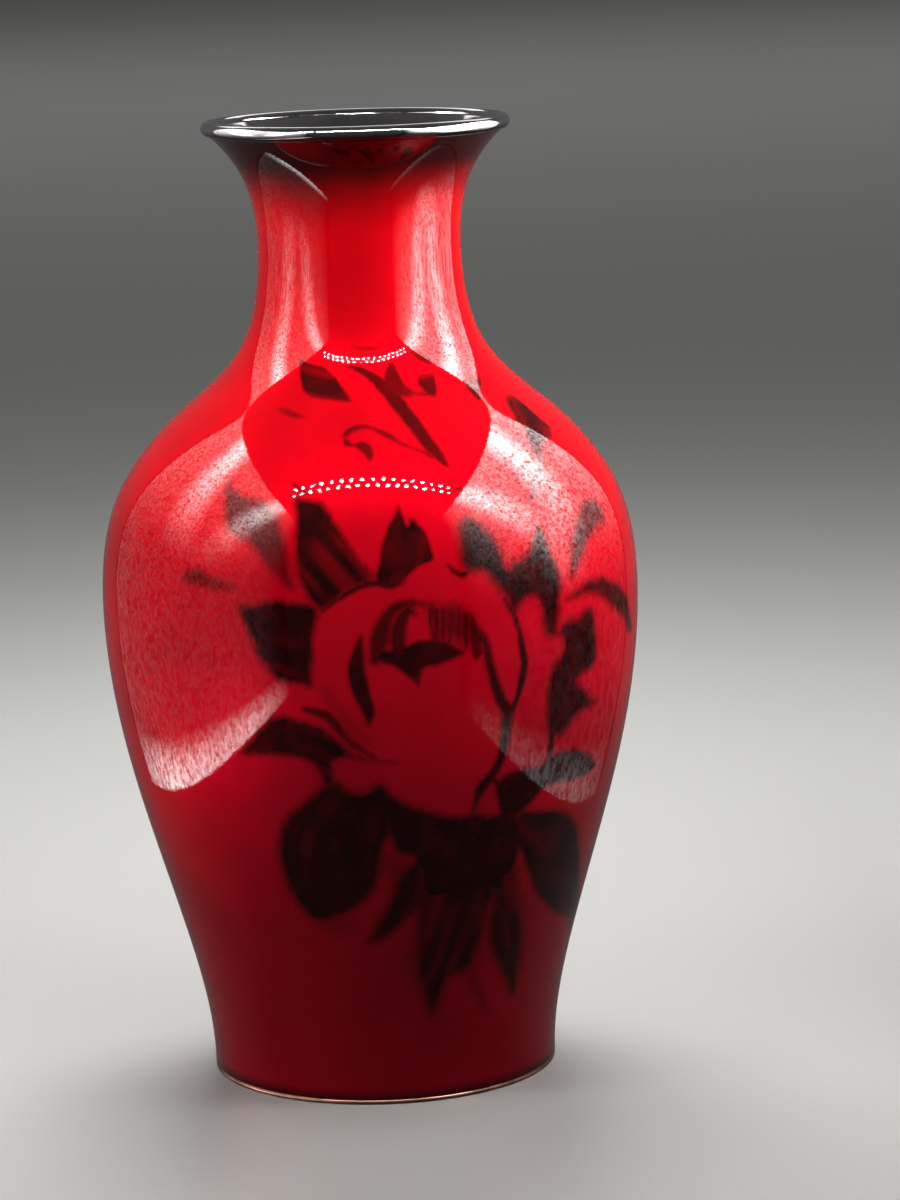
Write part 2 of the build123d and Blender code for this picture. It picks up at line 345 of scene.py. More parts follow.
def enamel_material():
    """Deep red glass over copper, with the dark fills fused into it."""
    n = Nodes("red_enamel")
    # darker towards the foot and brightest from the belly up to the shoulder: partly the glass's own tone,
    # partly painted shade of light that falls from above
    height = n.map(n.height(), 0.0, HEIGHT, smooth_step=False)
    red = n.ramp(
        height,
        [
            (0.0, (0.30, 0.0002, 0.0075)),
            (0.20, (0.27, 0.0002, 0.0075)),
            (0.32, (0.44, 0.0002, 0.0120)),
            (0.45, (0.74, 0.0002, 0.0180)),
            (0.64, (0.64, 0.0002, 0.0070)),
            (1.0, (0.54, 0.0002, 0.0028)),
        ],
    )
    cloud = n.noise(60.0, 3.0)
    red = n.mix(n.map(cloud, 0.35, 0.7, 0.0, 0.22), red, (0.10, 0.0004, 0.0030))
    petal = n.mix(n.math("MULTIPLY", n.attribute("petal"), 0.35), red, (0.62, 0.0012, 0.010))
    # under the rim the enamel goes dark: partly its own dark shading, partly painted shade of the flared lip,
    # which faces down
    shade_edge = n.math("ADD", n.height(), n.math("MULTIPLY", n.noise(120.0, 3.0), 2.4 * MM))
    shade = n.map(shade_edge, HEIGHT - 19.0 * MM, HEIGHT - 5.0 * MM)
    ground = n.mix(n.math("MULTIPLY", shade, 0.97), petal, (0.006, 0.0007, 0.0008))
    foot_line = n.map(n.height(), BARE_EDGE + 0.2 * MM, BARE_EDGE + 2.6 * MM, 0.85, 0.0)
    ground = n.mix(foot_line, ground, (0.020, 0.0006, 0.0014))
    # the dark fills: crisp where the field is steep, feathered where it is gentle
    grain = n.math("SUBTRACT", n.noise(1500.0, 3.0, 0.6), 0.5)
    fray = n.math("SUBTRACT", n.noise(1.0, 3.0, 0.6, n.stretched((480.0, 480.0, 340.0))), 0.5)
    ragged = n.math("ADD", n.math("MULTIPLY", grain, 0.5), n.math("MULTIPLY", fray, 1.3))
    edge = n.math("ADD", n.attribute("ink_edge"), ragged)
    thin = n.map(n.noise(210.0, 3.0, 0.6), 0.36, 0.58, 0.95, 1.0)
    density = n.math("MULTIPLY", n.attribute("ink_density"), thin)
    ink = n.math("MULTIPLY", n.map(edge, -1.1, 1.1), density)
    wash = n.math("MULTIPLY", n.attribute("ink_wash"), n.map(fray, -0.5, 0.3, 0.75, 1.0))
    clear = n.math("MULTIPLY", n.math("SUBTRACT", 1.0, ink), n.math("SUBTRACT", 1.0, wash))
    dark = n.mix(n.noise(260.0, 3.0), (0.0055, 0.0010, 0.0010), (0.0140, 0.0016, 0.0014))
    colour = n.mix(clear, dark, ground)
    # hand-ground surface: long shallow waves and a fine orange peel
    waves = n.bump(n.noise(75.0, 1.0), 0.045 * MM, 0.5)
    peel = n.bump(n.noise(2100.0, 2.0), 0.006 * MM, 0.6, waves)
    n.principled(
        Base_Color=colour,
        Metallic=0.35,
        Roughness=0.42,
        Specular_IOR_Level=0.0,
        Specular_Tint=(1.0, 0.12, 0.16),
        Coat_Weight=1.0,
        Coat_Roughness=0.012,
        Coat_IOR=1.46,
        Normal=peel,
        Coat_Normal=peel,
    )
    return n.material


def silver_material():
    """Polished silver with tarnished spots, darkened along the outer underside of the bead as painted shade.
    """
    n = Nodes("silver_edging")
    spots = n.map(n.noise(160.0, 4.0), 0.5, 0.8, 0.0, 0.4)
    # painted shade: the outer underside of the bead, which faces down, is darkened in its colour; the noise
    # spots are real tarnish
    low = n.map(n.height(), HEIGHT - 2.4 * MM, HEIGHT - 1.1 * MM, 1.0, 0.0)
    outside = n.map(n.radius(), LIP_RADIUS, LIP_RADIUS + 0.6 * MM)
    tarnish_and_underside_shade = n.math("MAXIMUM", spots, n.math("MULTIPLY", low, outside))
    colour = n.mix(tarnish_and_underside_shade, (0.74, 0.70, 0.74), (0.055, 0.045, 0.045))
    lines = n.noise(1.0, 2.0, vector=n.stretched((60.0, 60.0, 5200.0)))
    n.principled(
        Base_Color=colour,
        Metallic=1.0,
        Roughness=n.map(n.noise(700.0, 3.0), 0.3, 0.75, 0.05, 0.14),
        Normal=n.bump(lines, 0.004 * MM, 0.5),
    )
    return n.material


def copper_material(name, colour, dull, hammered):
    """Copper with dull patches, smooth or with the round marks of a hammer."""
    n = Nodes(name)
    patches = n.noise(140.0, 4.0)
    normal = n.bump(n.noise(2200.0, 2.0), 0.006 * MM, 0.5)
    if hammered:
        normal = n.bump(n.cells(170.0), 0.12 * MM, 0.6, normal)
    n.principled(
        Base_Color=n.mix(n.map(patches, 0.4, 0.72), colour, dull),
        Metallic=1.0,
        Roughness=n.map(patches, 0.3, 0.8, 0.28, 0.5),
        Normal=normal,
    )
    return n.material


def counter_enamel_material():
    """Left-over glass melted thin: dark, glossy, with flecks of other colours."""
    n = Nodes("counter_enamel")
    base = n.mix(n.noise(90.0, 4.0), (0.016, 0.002, 0.004), (0.05, 0.004, 0.007))
    flecks = n.map(n.cells(620.0), 0.16, 0.30, 0.55, 0.0)
    base = n.mix(flecks, base, (0.17, 0.035, 0.035))
    n.principled(
        Base_Color=base,
        Roughness=n.map(n.noise(300.0, 3.0), 0.3, 0.7, 0.14, 0.3),
        IOR=1.5,
        Normal=n.bump(n.noise(420.0, 3.0), 0.03 * MM, 0.6),
    )
    return n.material


def floor_material():
    """Pale, smooth paper."""
    n = Nodes("floor_paper")
    n.principled(
        Base_Color=n.mix(n.noise(4.0, 2.0), (0.40, 0.398, 0.385), (0.44, 0.437, 0.425)),
        Roughness=0.32,
        Normal=n.bump(n.noise(1500.0, 2.0), 0.02 * MM, 0.3),
    )
    return n.material


red_enamel = enamel_material()
silver = silver_material()
bare_copper = copper_material("bare_copper_edge", (0.66, 0.33, 0.25), (0.20, 0.085, 0.06), False)
raised_copper = copper_material("raised_copper", (0.62, 0.30, 0.22), (0.24, 0.11, 0.08), True)
counter_enamel = counter_enamel_material()

# -------------------- the rose picture

# A shape is its outline, how soft its edge is (mm), how dark it is (0 to 1), the direction of its
# brush marks (degrees from level) and how strongly they lighten it.
SHAPES = []
# A stroke is its centre line, its widths (mm) along it, softness and darkness.
STROKES = []
# Washes are strokes that stay soft and are laid over the rest.
WASHES = []


def shape(outline, soft=0.5, dark=0.98, brush=90, marks=0.06):
    SHAPES.append((outline, soft, dark, brush, marks))


def stroke(points, widths, soft=0.45, dark=0.95):
    STROKES.append((points, widths, soft, dark))


def wash(points, widths, soft=2.0, dark=0.4):
    WASHES.append((points, widths, soft, dark))


# ---- leaves above the bloom ----
shape(
    [(-16.9, 118.6), (-15.9, 114.5), (-15.7, 110), (-15, 105.7), (-13.4, 102.3), (-10.5, 99.2), (-8, 100.3),
     (-4, 102.5), (0, 104), (1.4, 104.3), (-1.1, 107), (-4, 110.2), (-6.7, 113.7), (-9.5, 117.2),
     (-12.3, 118.2)],
    soft=0.9, brush=-50, marks=0.28,
)
shape(
    [(1.3, 104.3), (1.8, 107), (2.8, 110.5), (4.2, 113.5), (5.8, 115.5), (6.9, 117.2), (7.6, 115.5),
     (8.6, 113.3), (9.4, 115), (10.8, 113.6), (12.4, 112), (12.9, 109.5), (13.4, 107.5), (11, 106.5),
     (8.5, 105.3), (6, 103.3), (3, 103.3)],
    brush=72, marks=0.1,
)
stroke([(-10, 98.8), (-5, 101.9), (0, 103.7), (4, 103.2), (7, 103.6)], [0.6, 1.2, 1.2, 1.4, 0.5])
shape(
    [(19.4, 110.5), (20.2, 113.5), (22.4, 114.4), (24.6, 113), (26.6, 111), (28.6, 108), (29.8, 104.8),
     (32, 105.8), (34.3, 106.2), (36, 108.4), (38, 110.6), (39.8, 110.9), (41, 108.5), (41.8, 105.5),
     (43, 102.5), (43.3, 99.5), (42.6, 96.5), (42, 93.5), (41, 90.5), (39.5, 90.7), (38, 91.5), (37.3, 95),
     (36.6, 98), (35, 98.6), (32.5, 97.8), (30.5, 95.8), (29.3, 96.8), (28, 99.5), (26.2, 102), (24.5, 104),
     (22.5, 104.3), (20, 105), (19.3, 107.5)],
    soft=1.4, dark=0.99, brush=-55, marks=0.0,
)
shape(
    [(46.1, 100.9), (47.2, 104.5), (49.1, 108.5), (51.9, 111.4), (54.7, 113.1), (58.5, 114.4), (62.8, 113.3),
     (63.6, 109.8), (59.2, 108.4), (54.5, 106.9), (51, 104.6), (48, 101.9)],
    soft=1.5, dark=0.92, brush=40, marks=0.1,
)
shape(
    [(38, 114.7), (41.5, 118.4), (46, 121.9), (49, 125.4), (51.4, 129.3), (54.3, 131.8), (57.5, 132.8),
     (62.3, 132.6), (63.8, 129), (64.6, 126.6), (59.8, 124.8), (56, 124.2), (52.5, 123), (48.6, 120),
     (43, 117)],
    soft=1.1, dark=0.97, brush=35, marks=0.1,
)
stroke([(52.5, 122.5), (50, 119), (49, 116.5), (50, 114.5)], [2.4, 3.0, 2.6, 1.2], soft=1.4, dark=0.75)
stroke([(16.3, 106.2), (17.5, 105), (19, 104.3), (20.5, 104.2)], [0.5, 1.1, 1.2, 0.6])

# ---- leaves to the left ----
shape(
    [(-35.9, 121), (-33, 119.6), (-30.2, 118.8), (-25.3, 118.2), (-21.1, 116.9), (-18.9, 112.6),
     (-17.4, 108.8), (-16.2, 103), (-18.7, 104), (-22.4, 107.2), (-25.2, 110), (-29.1, 111.6), (-33, 113.8),
     (-35, 117.6)],
    soft=1.2, dark=0.84, brush=-55, marks=0.3,
)
stroke(
    [(-41.8, 103.8), (-39, 104), (-36, 103.4), (-32, 102.8), (-29.3, 102.6)], [1.8, 3.2, 2.6, 1.8, 0.6],
    soft=1.1, dark=0.72,
)
shape(
    [(-28, 99.3), (-24, 99.6), (-20.5, 100.6), (-16, 100.3), (-13, 100), (-10.8, 98.8), (-11.6, 95),
     (-12.2, 91), (-12.5, 87), (-12.8, 84.8), (-15, 85.2), (-18, 85.3), (-20, 86), (-22.5, 88.5), (-24, 90.3),
     (-25.2, 93.5), (-26.8, 96.5)],
    soft=1.0, brush=-15, marks=0.10,
)

# ---- leaf and curling tendril to the right ----
shape(
    [(41.5, 91.5), (44, 93), (47, 93.2), (49, 93.8), (51, 94.3), (52.8, 93.8), (53.7, 92), (54.3, 89),
     (54.7, 86), (54.2, 83.5), (52, 82.3), (49.5, 82), (48, 80.8), (50, 79.5), (52, 78), (54, 76.8),
     (56.3, 75.6), (54, 75.2), (51, 75), (48, 74), (46.5, 72.5), (44, 71), (41, 71.5), (39.8, 73), (39.3, 76),
     (38.8, 80), (39.3, 83), (40.5, 85), (41.8, 86), (43, 87.5), (43.3, 89.5), (42, 90.5)],
    soft=1.3, brush=80, marks=0.03,
)
stroke([(41.3, 73), (41.5, 69.5), (41.6, 65.5)], [1.6, 1.5, 1.8])
stroke(
    [(44.5, 97.2), (48, 97.6), (52, 98.3), (56, 97.8), (60, 96.3), (64, 94.5), (68, 92.3), (71, 89),
     (73.5, 87)],
    [0.4, 1.3, 2.6, 3.6, 4.4, 5.0, 4.8, 3.4, 1.0], soft=1.2, dark=0.92,
)

# ---- dark bars either side of the bloom ----
shape(
    [(28, 64.5), (31, 65.8), (35, 65.8), (38, 65.5), (40, 66.3), (43, 67.2), (46, 67.8), (50, 67.6),
     (54, 66.3), (57, 64.8), (60.3, 62.8), (57, 61.4), (52, 61), (48, 61.3), (43, 61.5), (40, 60.6), (38, 59),
     (35.5, 57.3), (33, 56), (29.5, 57), (28.5, 60), (27.3, 62)],
    soft=0.8, brush=5, marks=0.06,
)
shape(
    [(-30, 71.3), (-27, 74.5), (-24, 77), (-21.5, 78.8), (-18.5, 79), (-15, 78), (-12, 77.3), (-9, 75.6),
     (-7, 73.8), (-4.5, 71.8), (-2, 70.8), (1, 70.3), (4, 69.9), (-1, 70.2), (-5, 70.9), (-8, 70.8),
     (-9.5, 69.5), (-9, 66), (-11.5, 65.5), (-12.5, 68.5), (-15, 70.5), (-20, 71.2), (-25, 71)],
    soft=1.1, brush=-20, marks=0.12,
)
stroke(
    [(-14.5, 80.5), (-12, 79.8), (-9.5, 79), (-7.5, 76.5), (-5.5, 74.3), (-3, 72.6), (0, 70.8)],
    [1.0, 1.6, 1.8, 1.6, 1.4, 1.2, 0.6], soft=0.6, dark=0.85,
)

# ---- the cluster of leaves below the bloom ----
shape(
    [(-13, 65), (-9, 66.8), (-6, 64.5), (-2, 64.6), (0.5, 66), (3, 64), (4, 60), (2.3, 55), (1, 52.5),
     (0.3, 49), (-0.6, 46), (-2.2, 43.5), (-4.5, 41.6), (-7, 40.3), (-10, 39.3), (-13, 38.5), (-16, 38),
     (-18.8, 38.6), (-21, 40.6), (-23, 43.8), (-24.3, 48), (-24.4, 52), (-23.2, 56.3), (-20.5, 59.7),
     (-17, 62)],
    soft=1.3, brush=70, marks=0.07,
)
shape(
    [(0, 65.5), (3, 63.8), (6, 62), (10, 60.3), (15, 58.8), (19, 58.2), (22, 58.6), (25, 57.8), (28, 57.5),
     (31, 58.5), (34, 57), (36, 53), (36.5, 49), (35.5, 45.5), (34, 43), (31.5, 41.5), (28, 42), (24, 41),
     (20, 40.8), (16, 40.8), (12.5, 41.5), (10, 44), (9, 47.5), (8, 50.5), (5.5, 51.5), (3.5, 53), (2.2, 56),
     (1, 60)],
    soft=1.1, brush=80, marks=0.04,
)
shape(
    [(8, 49.5), (5.5, 47.3), (3, 43.8), (1, 40.3), (-1.6, 37), (-4.3, 33.8), (-0.8, 33.5), (2, 35),
     (4.8, 36.5), (8.4, 38.8), (11.5, 42), (13, 47), (11, 50)],
    soft=1.3, dark=0.93, brush=60, marks=0.2,
)
shape(
    [(9.5, 44), (9, 38), (9, 33), (9.5, 28), (10.8, 24), (12.4, 20.6), (13.9, 18), (15.6, 18.6), (17, 20.6),
     (18.6, 23.6), (21, 25.6), (24.2, 26), (26.3, 28.6), (28, 32), (29.4, 37), (30, 44)],
    soft=1.5, dark=0.93, brush=75, marks=0.3,
)
shape(
    [(21, 44), (21, 38), (21.4, 32), (22.3, 28), (24, 26.6), (25.4, 28.5), (26.6, 32), (27.6, 37),
     (28.4, 44)],
    soft=1.3, dark=0.92, brush=85, marks=0.1,
)
shape(
    [(29.5, 46), (29.6, 40), (30.4, 34), (31.8, 29.6), (33.4, 27.8), (35.4, 26.2), (37.9, 23.6), (40.6, 20.8),
     (42.8, 18.8), (44.2, 22), (44.4, 27), (43, 32), (40.4, 37.5), (38, 42), (36, 46.5)],
    soft=1.5, dark=0.92, brush=-72, marks=0.3,
)
shape(
    [(34, 57.5), (38, 57), (42, 56.6), (46, 56), (50, 55), (54, 53), (58, 50), (61, 46.5), (64, 43), (68, 39),
     (72, 35), (76, 31.5), (76, 28.5), (70, 30), (65, 31.5), (60, 32.5), (55, 34), (51, 36), (47, 38),
     (44, 40.5), (41.5, 43), (39, 46), (36.5, 49), (34.5, 50.5)],
    soft=1.0, brush=-35, marks=0.12,
)
stroke([(26.5, 26), (28.5, 22.5), (31, 19.3), (33.5, 16)], [1.0, 1.6, 1.6, 0.6], soft=0.9, dark=0.42)

# ---- petals drawn in dark lines ----
stroke(
    [(-2.2, 94), (-3, 91), (-3.4, 88), (-3, 85), (-2, 82), (-1.2, 79.5), (-1.4, 77.2)],
    [0.8, 2.2, 3.2, 3.4, 2.8, 2.2, 0.6], soft=0.55,
)
stroke(
    [(21.5, 94.5), (23.5, 91.5), (24.3, 88), (25.5, 84), (27, 80.5), (28.6, 78), (28.8, 74.5), (28.4, 71),
     (27.3, 67.5), (25.2, 65), (23.4, 63), (22.5, 60.5), (22.2, 58.8)],
    [0.8, 1.6, 2.0, 2.1, 2.2, 2.6, 2.5, 2.3, 2.1, 2.2, 2.2, 1.4, 1.0], soft=0.7,
)
stroke(
    [(28.2, 99), (30.3, 96), (31.6, 92.5), (32.4, 88.5), (32.7, 86), (32, 82.5), (31, 79.8), (29.8, 77.8)],
    [0.8, 1.2, 1.2, 1.7, 1.9, 1.6, 1.3, 1.5],
)
stroke([(27, 64.5), (28.6, 62), (29, 59.5)], [1.0, 1.2, 1.4])

# ---- the heart of the bloom ----
stroke(
    [(0.6, 89.6), (1.0, 92.5), (2.0, 95.5), (3.8, 98.2), (5.7, 99.4), (8, 99.8), (10.5, 99.5)],
    [2.2, 3.0, 2.9, 2.3, 1.9, 1.6, 1.0], soft=0.75, dark=0.88,
)
stroke(
    [(5.4, 90.6), (5.4, 94.5), (6.2, 97), (7.6, 98.6), (9, 97.6)],
    [2.8, 2.8, 2.3, 1.7, 0.8], soft=0.65, dark=0.9,
)
shape(
    [(0, 90.8), (2, 91.5), (4.5, 91.3), (7, 92), (9, 92.8), (12, 92.8), (15, 92.3), (17.5, 91), (19, 89.8),
     (16, 88.8), (13, 87.9), (11, 87.8), (9.8, 86.8), (9.4, 84.2), (8, 85.5), (6.3, 86.9), (4.2, 88.2),
     (1.8, 89), (0.3, 89.8)],
    soft=0.6, brush=0, marks=0.05,
)
shape(
    [(20, 97), (21.2, 96.2), (22.2, 93.8), (22.8, 91.5), (23, 89.3), (21.6, 88.2), (20.6, 89.2), (20.2, 92)],
    dark=0.9, marks=0.3,
)
# fine upright hairs, hanging from a line that dips like a wave
BRISTLE_FIRST, BRISTLE_LAST, BRISTLES = 12.2, 19.4, 7
for bristle in range(BRISTLES):
    share = bristle / (BRISTLES - 1)
    angle = BRISTLE_FIRST + share * (BRISTLE_LAST - BRISTLE_FIRST)
    top = 99.6 - 1.2 * sin(7.0 * share) - 1.4 * share
    stroke(
        [(angle, top), (angle - 0.15, 96), (angle + 0.1, 93.5), (angle, 90.8)],
        [0.5, 0.8, 0.85, 0.7], soft=0.35, dark=0.72 + 0.16 * cos(5.0 * share),
    )

# ---- stem, buds and leaves on the shoulder ----
shape(
    [(-29.8, 141.4), (-26.5, 140.9), (-22, 140.5), (-17, 140), (-12.5, 138.7), (-8.5, 136.8), (-4.5, 134.3),
     (-9, 134.5), (-14, 134.7), (-19, 135), (-23.5, 136), (-27, 138.2), (-28.8, 140)],
    soft=0.4, dark=0.93, brush=-15, marks=0.3,
)
stroke(
    [(-9, 140.4), (-4, 140), (1, 139), (5, 137.8), (8.5, 136), (11, 134.3), (13.5, 132), (15.8, 129.3),
     (17.5, 127), (19, 125), (20.5, 123)],
    [0.6, 1.4, 2.0, 2.6, 3.0, 3.2, 2.8, 2.6, 2.4, 2.0, 0.8], soft=0.5, dark=0.88,
)
shape(
    [(8, 137.5), (11, 140.3), (13.5, 140.6), (14.8, 138.8), (17, 136.3), (20, 135.2), (16.5, 134.6),
     (13.5, 134.9), (11, 134.5)],
    dark=0.85, brush=60, marks=0.3,
)
shape(
    [(21.5, 136.9), (24, 138.2), (27.5, 138.2), (30.5, 138.6), (29, 136), (26.5, 134.3), (24, 134.8)],
    dark=0.88, brush=10, marks=0.35,
)
stroke([(16, 135.4), (20, 135), (24.5, 134.9)], [0.8, 0.6, 0.9], soft=0.4, dark=0.8)
stroke([(22.5, 142.2), (26, 141.5), (30, 140.6), (34.5, 140.2)], [1.0, 1.9, 1.9, 0.6], soft=0.6, dark=0.8)
stroke(
    [(-6, 128.9), (-4, 129.8), (-1, 130.2), (2, 129.9), (6, 128.8), (10, 127.2), (14, 126), (17.5, 124.8)],
    [1.2, 1.4, 1.2, 0.9, 1.2, 0.8, 0.8, 1.4], dark=0.72,
)
shape(
    [(-6.2, 128.6), (-3.5, 127.6), (-1, 127.8), (1.5, 127), (2, 125.3), (0.8, 124.5), (-1, 126), (-3, 126.9),
     (-5.8, 127.2)],
    soft=0.45, dark=0.8, brush=-20, marks=0.3,
)
shape(
    [(42, 136.8), (45, 136.9), (49, 136.4), (53.5, 136.9), (51, 135.5), (47, 134.2), (44.3, 132.9),
     (42, 133.2)],
    dark=0.9, brush=0, marks=0.2,
)

# ---- loose touches of thin colour ----
stroke([(-30, 133), (-25, 132.3), (-20, 131.8)], [0.6, 1.4, 0.5], soft=0.5, dark=0.6)
stroke([(-18, 121), (-16.5, 120.2), (-14.5, 119.4)], [0.6, 0.9, 0.8], soft=0.4, dark=0.7)
stroke([(20, 118.8), (22, 119.2), (24, 119)], [0.6, 1.0, 0.4], soft=0.4, dark=0.75)
stroke([(17, 116.7), (19.6, 118.6)], [0.4, 1.0], soft=0.5, dark=0.6)
stroke([(-5, 143.4), (2, 143.2), (10, 143)], [0.6, 1.0, 0.5], soft=0.5, dark=0.5)
wash([(12, 30), (14, 24), (15.5, 19)], [6.0, 5.0, 3.0], soft=3.0, dark=0.32)
wash([(38, 33), (42, 26), (43, 21)], [4.0, 4.0, 2.0], soft=2.6, dark=0.35)
wash([(24, 33), (25, 27), (26, 23)], [5.0, 5.0, 3.0], soft=2.4, dark=0.25)
wash([(-16, 42), (-13, 38), (-9, 36.5)], [5.0, 5.0, 3.0], soft=2.4, dark=0.3)
wash([(-24, 50), (-23, 44)], [4.0, 4.0], soft=2.4, dark=0.25)
wash([(56, 50), (64, 40), (72, 32)], [6.0, 6.0, 4.0], soft=3.0, dark=0.3)
wash([(3, 50), (6, 46), (8, 41)], [4.0, 5.0, 3.0], dark=0.45)
wash([(3.2, 91), (3.6, 95.5)], [2.4, 2.4], soft=1.0, dark=0.5)
wash([(12.5, 98.6), (15, 96.5), (18.5, 95.5), (20.5, 93)], [2.5, 5.0, 5.5, 4.0], soft=1.6, dark=0.6)
wash([(28, 114), (37, 117), (46, 112)], [12.0, 13.0, 10.0], soft=4.5, dark=0.38)
wash([(-10, 84), (-6, 78), (-2, 74.5)], [1.6, 2.4, 1.6], soft=1.6, dark=0.35)
wash([(-22, 96), (-18, 92)], [7.0, 7.0], soft=4.0, dark=0.2)

# the outline of all the petals together, which are tinted a little
BLOOM = [
    (-11, 98), (-12, 90), (-11.5, 85), (-9.5, 78), (-6, 73), (-3, 71), (4, 64), (10, 60), (17, 58.3),
    (22, 58.5), (26, 65), (28.5, 71), (29.5, 77.5), (31, 80.5), (32.5, 86), (31, 92), (28, 98.5),
    (24, 103.5), (21, 104), (16, 105.5), (10, 105), (7, 103), (0, 103.3), (-5, 101.5), (-9, 99.5),
]


LINE_PIECES = 4  # straight pieces between two points of a rounded line
EDGE_REACH = 3.0  # edge values past this many softnesses are all the same
FIELD_MARGIN = 4.0  # mm around an outline within which distances to it are measured
WASH_MARGIN = 3.0  # mm, the same for a wash, past twice its softness
BRUSH_LONG, BRUSH_WIDE = 9.0, 1.7  # mm, the size of a brush mark
THINNEST_LINE = 0.1  # mm
PLAIN_DENSITY = 0.9  # of dark colour away from every shape
PETAL_RIM = (-0.6, 1.2)  # mm, from outside the bloom to where its tint is full
PETAL_GLOW, PETAL_GLOW_REACH = 0.35, (7.0, 0.5)  # less tint near the rim, and how far in (mm)


def rounded_line(points, closed):
    """Points on a smooth line through the given ones."""
    points = np.array(points, float)
    count = len(points)
    spans = count if closed else count - 1
    made = []
    for i in range(spans):
        ids = [i - 1, i, i + 1, i + 2]
        ids = [k % count for k in ids] if closed else [min(max(k, 0), count - 1) for k in ids]
        a, b, c, d = points[ids]
        for step in range(LINE_PIECES):
            t = step / LINE_PIECES
            bend = (2 * a - 5 * b + 4 * c - d) * t**2 + (3 * b - a - 3 * c + d) * t**3
            made.append(0.5 * (2 * b + (c - a) * t + bend))
    if not closed:
        made.append(points[-1])
    return np.array(made)


class Chart:
    """Measures distances on the skin, in millimetres, from outlines in (angle, height)."""

    def __init__(self, angles, heights):
        self.angles = angles
        self.heights = heights

    def local(self, outline, margin):
        """The outline and the skin's points near it, as flat (x, y) in millimetres."""
        outline = np.array(outline, float)
        middle = outline.mean(0)
        radius = np.interp(middle[1] * MM, profile[:, 1], profile[:, 0]) / MM
        per_degree = radius * pi / 180
        slope = np.interp(middle[1] * MM, profile[:, 1], profile_tangents[:, 1])
        flat = np.stack([(outline[:, 0] - middle[0]) * per_degree, (outline[:, 1] - middle[1]) / slope], 1)
        x = (self.angles - middle[0]) * per_degree
        y = (self.heights - middle[1]) / slope
        low, high = flat.min(0) - margin, flat.max(0) + margin
        near = (x > low[0]) & (x < high[0]) & (y > low[1]) & (y < high[1])
        return flat, np.flatnonzero(near), x[near], y[near]


def distance_to_line(x, y, line, widths):
    """Distance to a line of segments less half its width there, for each point."""
    best = np.full(len(x), np.inf)
    for (a, b), (wa, wb) in zip(zip(line, line[1:]), zip(widths, widths[1:])):
        along = b - a
        t = ((x - a[0]) * along[0] + (y - a[1]) * along[1]) / max(along @ along, TINY)
        t = np.clip(t, 0, 1)
        gap = np.hypot(x - a[0] - t * along[0], y - a[1] - t * along[1])
        best = np.minimum(best, gap - (wa + (wb - wa) * t) / 2)
    return best


def inside(x, y, outline):
    """True where a point is inside the closed outline."""
    odd = np.zeros(len(x), bool)
    for a, b in zip(outline, np.roll(outline, -1, axis=0)):
        crosses = (a[1] > y) != (b[1] > y)
        reach = a[0] + (y - a[1]) * (b[0] - a[0]) / np.where(a[1] == b[1], TINY, b[1] - a[1])
        odd ^= crosses & (x < reach)
    return odd


def shape_field(chart, outline):
    """Signed distance in mm to a rounded outline, positive inside, for the points near it."""
    flat, near, x, y = chart.local(outline, FIELD_MARGIN)
    flat = rounded_line(flat, True)
    ring = np.vstack([flat, flat[:1]])
    gap = distance_to_line(x, y, ring, np.zeros(len(ring)))
    return near, np.where(inside(x, y, flat), gap, -gap), x, y


def stroke_field(chart, points, widths, margin):
    """The same for a brush stroke along points, as wide as widths say."""
    flat, near, x, y = chart.local(points, margin)
    both = rounded_line(np.column_stack([flat, widths]), False)
    gap = distance_to_line(x, y, both[:, :2], np.maximum(both[:, 2], THINNEST_LINE))
    return near, -gap


def paint(angles, heights):
    """The picture's fields on the skin's points: edge, density, wash and petal."""
    chart = Chart(angles, heights)
    edge = np.full(len(angles), -EDGE_REACH)
    density = np.full(len(angles), PLAIN_DENSITY)
    clear = np.ones(len(angles))
    layers = []
    for number, (outline, soft, dark, brush, marks) in enumerate(SHAPES):
        near, field, x, y = shape_field(chart, outline)
        turn = radians(brush)
        along = x * cos(turn) + y * sin(turn)
        across = y * cos(turn) - x * sin(turn)
        streak = lattice_noise(along / BRUSH_LONG + 7 * number, across / BRUSH_WIDE, 10 + number)
        streak = smooth(0.4, 1.0, streak)
        layers.append((near, field / soft, dark * (1 - marks * streak)))
    for points, widths, soft, dark in STROKES:
        near, field = stroke_field(chart, points, widths, FIELD_MARGIN)
        layers.append((near, field / soft, np.full(len(near), dark)))
    for near, value, dark in layers:
        value = np.clip(value, -EDGE_REACH, EDGE_REACH)
        stronger = value > edge[near]
        picked = near[stronger]
        edge[picked] = value[stronger]
        density[picked] = dark[stronger]
    for points, widths, soft, dark in WASHES:
        near, field = stroke_field(chart, points, widths, 2 * soft + WASH_MARGIN)
        clear[near] *= 1 - dark * smooth(-soft, soft, field)
    petal = np.zeros(len(angles))
    near, field, _, _ = shape_field(chart, BLOOM)
    petal[near] = smooth(*PETAL_RIM, field) * (1 - PETAL_GLOW * smooth(*PETAL_GLOW_REACH, field))
    return {"ink_edge": edge, "ink_density": density, "ink_wash": 1 - clear, "petal": petal}


# -------------------- enamel skins

FINE_STEP = 0.6 * MM  # spacing of the skin's points across the picture
COARSE_STEP = 1.6 * MM
PICTURE_LOW, PICTURE_HIGH = 14.0, 146.0  # mm, heights of the picture
PICTURE_LEFT, PICTURE_RIGHT = -42.0, 78.0  # degrees
FRONT_LEFT, FRONT_RIGHT = -50.0, 86.0  # where the front skin meets the back one
FINE_TURN = 0.68  # degrees
COARSE_TURN = 2.0
FOOT_ROUNDING = 0.35 * MM
LIP_ROUNDING = 0.25 * MM
ROUNDING_STEPS = (0.0, 0.06, 0.16, 0.32, 0.55, 0.8, 1.0)


